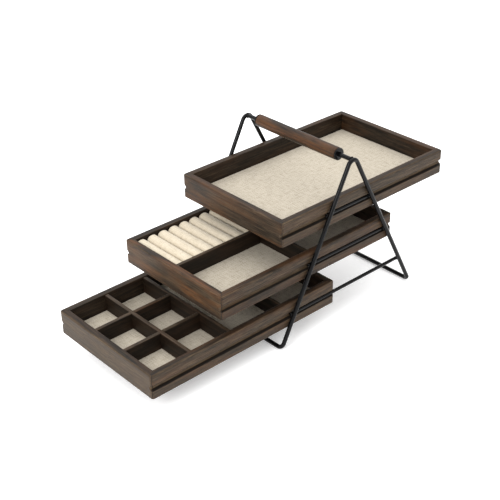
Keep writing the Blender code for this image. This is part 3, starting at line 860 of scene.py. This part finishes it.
def edge_board(axis, low, high, edge, notches=(), notch_top=True):
    """A board on edge along X or Y between two corners, its upper edges rounded, halved where it is crossed.

    The section, a rectangle with two quarter circles at the top, is carried along the board. Inside a
    notch (from, to, height) the top comes down, or the bottom goes up, to that height.
    """
    long, wide = (0, 1) if axis == "x" else (1, 0)
    turn = np.radians(np.linspace(0, 90, 5))
    half = (high[wide] - low[wide]) / 2
    side = np.stack([half - edge * (1 - np.cos(turn)), edge * (1 - np.sin(turn))], -1)
    across = np.concatenate([[half], side[:, 0], -side[::-1, 0], [-half]])
    drop = np.concatenate([[0.0], side[:, 1], side[::-1, 1], [0.0]])
    is_top = np.array([False] + [True] * (2 * len(side)) + [False])
    whole = (low[2], high[2])
    spots = [(low[long], *whole, 0.0), (low[long], *whole, 1.0)]
    for start, end, height in sorted(notches):
        inner = (low[2], height) if notch_top else (height, high[2])
        spots += [(start, *whole, 1.0), (start, *inner, 1.0), (end, *inner, 1.0), (end, *whole, 1.0)]
    spots += [(high[long], *whole, 1.0), (high[long], *whole, 0.0)]
    at, bottom, top, scale = np.array(spots).T
    z = np.where(is_top, top[:, None] - drop, bottom[:, None] + drop)
    points = np.zeros((len(at), len(across), 3))
    points[:, :, long] = at[:, None]
    points[:, :, wide] = (low[wide] + high[wide]) / 2 + scale[:, None] * across
    points[:, :, 2] = z
    return points.reshape(-1, 3), grid_faces(len(at), len(across), closed_columns=True)


class CARRIER_OT_dividers(bpy.types.Operator):
    """Cut the strips that divide the middle and the bottom tray, halved into each other where they cross"""

    bl_idname = "tray_carrier.dividers"
    bl_label = "Dividers"

    def execute(self, context):
        wood = settings().wood
        rows = ("bottom_tray_long_near", "bottom_tray_long_far")
        strips = {
            "middle_tray_divider_cross": ("y", (), True),
            "middle_tray_divider_long": ("x", (), True),
            "bottom_tray_cross_one": ("y", rows, False),
            "bottom_tray_cross_two": ("y", (), True),
            "bottom_tray_cross_three": ("y", (), True),
            "bottom_tray_long_near": ("x", ("bottom_tray_cross_one",), True),
            "bottom_tray_long_far": ("x", ("bottom_tray_cross_one",), True),
        }
        for k, (node, (axis, crossed_by, from_top)) in enumerate(strips.items()):
            low, high = box(node)
            long = 0 if axis == "x" else 1
            middle = (low[2] + high[2]) / 2
            fit = wood.joint_fit / 2
            notches = []
            for other in crossed_by:
                other_low, other_high = box(other)
                height = middle - fit if from_top else middle + fit
                notches.append((other_low[long] - fit, other_high[long] + fit, height))
            shell = edge_board(axis, low, high, wood.divider_edge, notches, from_top)
            body = node.split("_tray_")[0] + "_tray"
            strip = put(node + "_strip", [shell], tray_walnut(), body, [node])

            # Painted shade down the faces below the top 0.3 mm; along the top, rubbing with a painted
            # highlight at half strength, fresh from 1.2 mm down.
            depth = high[2] - places_of(strip.data)[:, 2]
            tone = DIVIDER_SHADE * (depth > 0.3 * MILLIMETRE)
            wear_and_painted_highlight = 0.5 * np.clip(1 - depth / (1.2 * MILLIMETRE), 0, 1)
            # Each strip is a little redder than the one before.
            set_grain(strip, axis, 0.02 * k, tone, wear_and_painted_highlight)
        return {"FINISHED"}


class CARRIER_OT_panels(bpy.types.Operator):
    """Slide a thin stained panel into the dado round each tray"""

    bl_idname = "tray_carrier.panels"
    bl_label = "Panels"

    def execute(self, context):
        edge = settings().wood.panel_edge
        steps = np.linspace(0, 1, 25)
        inset = np.where((steps == 0) | (steps == 1), edge, 0.0)
        drop = np.maximum(inset[:, None], inset[None, :])
        for tier in TIERS:
            node = tier + "_tray_panel"
            low, high = box(node)
            place = low[:2] + steps[:, None] * (high - low)[:2]
            x, y = np.meshgrid(place[:, 0], place[:, 1], indexing="ij")
            top = points_at(x, y, high[2] - drop)
            sole = points_at(x, y, low[2] + drop)
            rim_x = np.concatenate([x[0, :], x[1:, -1], x[-1, -2::-1], x[-2:0:-1, 0]])
            rim_y = np.concatenate([y[0, :], y[1:, -1], y[-1, -2::-1], y[-2:0:-1, 0]])
            rim_z = np.repeat([low[2] + edge, high[2] - edge], len(rim_x))
            band = points_at(np.tile(rim_x, 2), np.tile(rim_y, 2), rim_z)
            faces = grid_faces(25, 25)
            shells = [(top, faces), (sole, faces), (band, grid_faces(2, len(rim_x), closed_columns=True))]
            sheet = put(node + "_board", shells, tray_walnut(), tier + "_tray", [node])
            set_grain(sheet, "x", 0.0, 0.0)
        return {"FINISHED"}


# ---------------------------------------------------------------- linings and ring rolls
def turned_down(half, radius, drop, count):
    """Across a lining from hem to hem: each point's place, its fall and its place on the flat cloth.

    The cloth is flat on top, turns down through a quarter circle at each edge, then hangs straight.
    """
    turn = np.radians(np.linspace(90, 0, 6))
    edge = np.stack([half - radius + radius * np.sin(turn), radius - radius * np.cos(turn)], -1)
    hem = np.array([[half, drop * 0.6], [half, drop]])
    flat = np.stack([np.linspace(0, half - radius, count)[:-1], np.zeros(count - 1)], -1)
    right = np.concatenate([flat, edge[::-1], hem])
    left = right[:0:-1] * (-1, 1)
    chain = np.concatenate([left, right])
    steps = np.linalg.norm(np.diff(chain, axis=0), axis=1)
    cut = np.concatenate([[0.0], np.cumsum(steps)])
    return chain[:, 0], chain[:, 1], cut - cut[-1] / 2


class CARRIER_OT_linings(bpy.types.Operator):
    """Cover the card in each tray with linen, turned down all round"""

    bl_idname = "tray_carrier.linings"
    bl_label = "Linings"

    def execute(self, context):
        cloth = settings().cloth
        linen = material_once(
            "unbleached_linen", plain_weave, cloth.lining_light, cloth.lining_dark, cloth.lining_thread, 0.15
        )
        for k, tier in enumerate(TIERS):
            node = tier + "_tray_lining"
            low, high = box(node)
            drop = high[2] - low[2] - cloth.cloth_thickness
            half = (high - low) / 2
            centre = (high + low) / 2
            x, fall_x, cut_x = turned_down(half[0], cloth.turn_radius, drop, 45)
            y, fall_y, cut_y = turned_down(half[1], cloth.turn_radius, drop, 29)
            across, along = np.meshgrid(x, y, indexing="ij")
            fall = np.maximum(fall_x[:, None], fall_y[None, :])
            # Slow waves, 50 to 150 mm long, that die out over the last 20 mm before the hems.
            fade = np.clip((half[0] - np.abs(across)) / 0.02, 0, 1)
            fade *= np.clip((half[1] - np.abs(along)) / 0.02, 0, 1)
            wave = np.sin(across * 95 + k) * np.cos(along * 120 - 2 * k)
            wave += 0.6 * np.sin(across * 41 + along * 77)
            z = high[2] - fall - cloth.lining_wave * fade * (1 + wave) / 2
            points = points_at(centre[0] + across, centre[1] + along, z)
            cut = np.stack(np.meshgrid(cut_x, cut_y, indexing="ij"), -1).reshape(-1, 2)
            faces = grid_faces(len(x), len(y))
            name = node + "_linen"
            lining = put(name, [(points, faces)], linen, tier + "_tray", [node], 60.0, cut)
            thick = lining.modifiers.new("cloth_thickness", "SOLIDIFY")
            thick.thickness = cloth.cloth_thickness
            thick.offset = -1.0
        return {"FINISHED"}


def foam_roll(low, high, cloth, seed):
    """A cloth-covered foam roll along Y, as points, faces and map.

    Round it, the section is a superellipse of power 2.4, squeezed flat where it meets its neighbours and
    the pad; along it, the section shrinks over a quarter circle at each end to a slightly sunk face.
    """
    end = cloth.roll_end
    radius = (high[0] - low[0]) / 2
    centre = (high + low) / 2
    long = high[1] - low[1]
    turn = np.linspace(0, math.pi / 2, 7)
    edge_y = end * (1 - np.sin(turn[::-1]))
    edge_r = radius - end * (1 - np.cos(turn[::-1]))
    face_r = np.linspace(0, radius - end, 6)[:-1]
    face_y = cloth.roll_dimple * (1 - (face_r / (radius - end)) ** 2)
    middle = np.linspace(end, long - end, 44)[1:-1]
    y = np.concatenate([face_y, edge_y, middle, long - edge_y[::-1], long - face_y[::-1]])
    r = np.concatenate([face_r, edge_r, np.full(len(middle), radius), edge_r[::-1], face_r[::-1]])
    angle = np.linspace(-math.pi / 2, 1.5 * math.pi, 45)
    ripple = np.random.default_rng(seed).uniform(0, 2 * math.pi, 4)
    ways, along = np.meshgrid(angle, y, indexing="xy")
    cosine, sine = np.cos(ways), np.sin(ways)
    power = 2 / 2.4
    section = np.stack(
        [np.sign(cosine) * np.abs(cosine) ** power, np.sign(sine) * np.abs(sine) ** power], -1
    )
    # Slack in the cloth: slow waves 30 mm long and finer ones 13 mm long, up to 1.2 and 0.8 % of the radius.
    pull = 1 - 0.012 * (1 + np.sin(along * 210 + ripple[0]) * np.sin(ways * 2 + ripple[1])) / 2
    pull -= 0.008 * (1 + np.sin(along * 470 + ripple[2] + 2 * ways)) / 2
    section *= (r[:, None] * pull)[:, :, None]
    points = points_at(centre[0] + section[:, :, 0], low[1] + along, centre[2] + section[:, :, 1])
    steps = np.concatenate([[0.0], np.cumsum(np.hypot(np.diff(y), np.diff(r)))])
    cut = np.stack(np.meshgrid(angle * radius, steps, indexing="xy"), -1)
    return points, grid_faces(len(y), len(angle)), cut.reshape(-1, 2)


def swell(rolls, most, frames):
    """Lets the rolls' cloth swell under a light pressure, and keeps each point within most of its start."""
    starts = {}
    for roll in rolls:
        points = places_of(roll.data)
        starts[roll.name] = points
        # The lowest 1.2 mm is sewn to the pad.
        sole = points[:, 2] < points[:, 2].min() + 1.2 * MILLIMETRE
        held = roll.vertex_groups.new(name="sewn_down")
        held.add(np.flatnonzero(sole).tolist(), 1.0, "REPLACE")
        cloth = roll.modifiers.new("swell", "CLOTH")
        cloth.settings.vertex_group_mass = "sewn_down"
        cloth.settings.use_pressure = True
        cloth.settings.uniform_pressure_force = 4.0
        cloth.settings.effector_weights.gravity = 0.0
        cloth.settings.tension_stiffness = 25.0
        cloth.settings.bending_stiffness = 2.0
        cloth.collision_settings.use_collision = False
        cloth.point_cache.frame_start = 1
        cloth.point_cache.frame_end = frames
    scene = bpy.context.scene
    for moment in range(1, frames + 1):
        scene.frame_set(moment)
    graph = bpy.context.evaluated_depsgraph_get()
    swollen = {roll.name: places_of(roll.evaluated_get(graph).data) for roll in rolls}
    for roll in rolls:
        start = starts[roll.name]
        move = swollen[roll.name] - start
        far = np.maximum(np.linalg.norm(move, axis=1), 1e-12)
        move *= np.minimum(1.0, most / far)[:, None]
        roll.modifiers.clear()
        roll.vertex_groups.clear()
        roll.data.vertices.foreach_set("co", (start + move).astype(np.float32).reshape(-1))
        roll.data.update()
    scene.frame_set(1)


class CARRIER_OT_ring_rolls(bpy.types.Operator):
    """Wrap the eight foam rolls in cloth and set them on their pad"""

    bl_idname = "tray_carrier.ring_rolls"
    bl_label = "Ring Rolls"

    def execute(self, context):
        cloth = settings().cloth
        colors = (cloth.roll_light, cloth.roll_dark)
        cover = material_once("cream_linen", plain_weave, *colors, cloth.roll_thread, 0.2)
        nodes = sorted(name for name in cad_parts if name.startswith("ring_roll_"))
        room = cloth.roll_swell / 2
        rolls = []
        for seed, node in enumerate(nodes):
            low, high = box(node)
            points, faces, cut = foam_roll(low + room, high - room, cloth, seed)
            name = node + "_cover"
            rolls.append(put(name, [(points, faces)], cover, "middle_tray", [node], 80.0, cut))
        swell(rolls, room, 12)
        for roll in rolls:
            smooth = roll.modifiers.new("fine", "SUBSURF")
            smooth.levels = 1
            smooth.render_levels = 1

        node = "middle_tray_roll_pad"
        low, high = box(node)
        centre, half = (low + high) / 2, (high - low) / 2
        p, q = globe(25, 65)

        def rounded(value, power):
            """The power of a value's size, with its sign, and exactly nothing at poles and seams."""
            value = np.where(np.abs(value) < 1e-9, 0.0, value)
            return np.sign(value) * np.abs(value) ** power

        # A superellipsoid whose low powers make a flat cushion, nearly square in plan, with soft edges.
        x = half[0] * rounded(np.cos(p), 0.12) * rounded(np.cos(q), 0.08)
        y = half[1] * rounded(np.cos(p), 0.12) * rounded(np.sin(q), 0.08)
        z = half[2] * rounded(np.sin(p), 0.5)
        shell = (points_at(centre[0] + x, centre[1] + y, centre[2] + z), grid_faces(25, 65))
        cut = np.stack([x, y], -1).reshape(-1, 2)
        pad = put(node + "_cover", [shell], cover, "middle_tray", [node], 80.0, cut)
        return {"FINISHED"}


# ---------------------------------------------------------------- stage
class CARRIER_OT_stage(bpy.types.Operator):
    """Lay the white floor, hang the soft lights and set up the camera"""

    bl_idname = "tray_carrier.stage"
    bl_label = "Stage"

    def execute(self, context):
        stage = settings().stage
        scene = context.scene
        # A sheet 12 m square, so that no view shows its edge.
        grid = np.linspace(-6.0, 6.0, 9)
        x, y = np.meshgrid(grid, grid, indexing="ij")
        mesh = bpy.data.meshes.new("studio_floor")
        mesh.from_pydata(points_at(x, y, 0.0).tolist(), [], grid_faces(9, 9).tolist())
        mesh.materials.append(paper_floor("white_paper", stage.floor_color, stage.floor_glow))
        floor = bpy.data.objects.new("studio_floor", mesh)
        scene.collection.objects.link(floor)

        world = bpy.data.worlds.new("studio")
        world.use_nodes = True
        sky = world.node_tree.nodes["Background"]
        sky.inputs["Color"].default_value = linear("#FFFFFF")
        sky.inputs["Strength"].default_value = stage.sky
        scene.world = world
        # Square soft boxes that face the carrier: name, place, side and power.
        lamps = (
            ("key_softbox", (0.1, 0.55, 1.9), 2.6, stage.key),
            ("front_softbox", (-1.7, -0.6, 1.25), 0.8, stage.fill),
        )
        for name, place, size, power in lamps:
            light = bpy.data.lights.new(name, "AREA")
            light.shape = "SQUARE"
            light.size = size
            light.energy = power
            lamp = bpy.data.objects.new(name, light)
            lamp.location = place
            lamp.rotation_euler = (-Vector(place)).to_track_quat("-Z", "Y").to_euler()
            scene.collection.objects.link(lamp)

        lens = bpy.data.cameras.new("product_camera")
        lens.sensor_width = 36.0
        lens.lens = stage.lens
        camera = bpy.data.objects.new("product_camera", lens)
        aim = Euler((math.pi / 2 - stage.camera_elevation, 0.0, stage.camera_azimuth)).to_matrix()
        camera.matrix_world = Matrix.Translation(stage.camera_place) @ (
            aim @ Matrix.Rotation(stage.camera_roll, 3, "Z")
        ).to_4x4()
        scene.collection.objects.link(camera)
        scene.camera = camera
        scene.view_settings.view_transform = "Standard"
        return {"FINISHED"}


OPERATORS = (
    CARRIER_OT_end_frames,
    CARRIER_OT_rails,
    CARRIER_OT_handle,
    CARRIER_OT_tray_walls,
    CARRIER_OT_dividers,
    CARRIER_OT_panels,
    CARRIER_OT_linings,
    CARRIER_OT_ring_rolls,
    CARRIER_OT_stage,
)


class CARRIER_PT_panel(bpy.types.Panel):
    """Lists the carrier's pieces and settings"""

    bl_idname = "CARRIER_PT_panel"
    bl_label = "Tray Carrier"
    bl_space_type = "VIEW_3D"
    bl_region_type = "UI"
    bl_category = "Tray Carrier"

    def draw(self, context):
        for operator in OPERATORS:
            self.layout.operator(operator.bl_idname)
        for group in (settings().wood, settings().wire, settings().cloth, settings().stage):
            column = self.layout.column(heading=type(group).__name__)
            for name in group.__annotations__:
                column.prop(group, name)


CLASSES = (
    TrayWoodSettings,
    WireSettings,
    ClothSettings,
    StageSettings,
    CarrierSettings,
    *OPERATORS,
    CARRIER_PT_panel,
)


def register():
    for made in CLASSES:
        bpy.utils.register_class(made)
    bpy.types.Scene.tray_carrier = PointerProperty(type=CarrierSettings)


def unregister():
    del bpy.types.Scene.tray_carrier
    for made in reversed(CLASSES):
        bpy.utils.unregister_class(made)


def main():
    register()
    for operator in OPERATORS:
        family, action = operator.bl_idname.split(".")
        getattr(getattr(bpy.ops, family), action)()


if __name__ == "__main__":
    main()
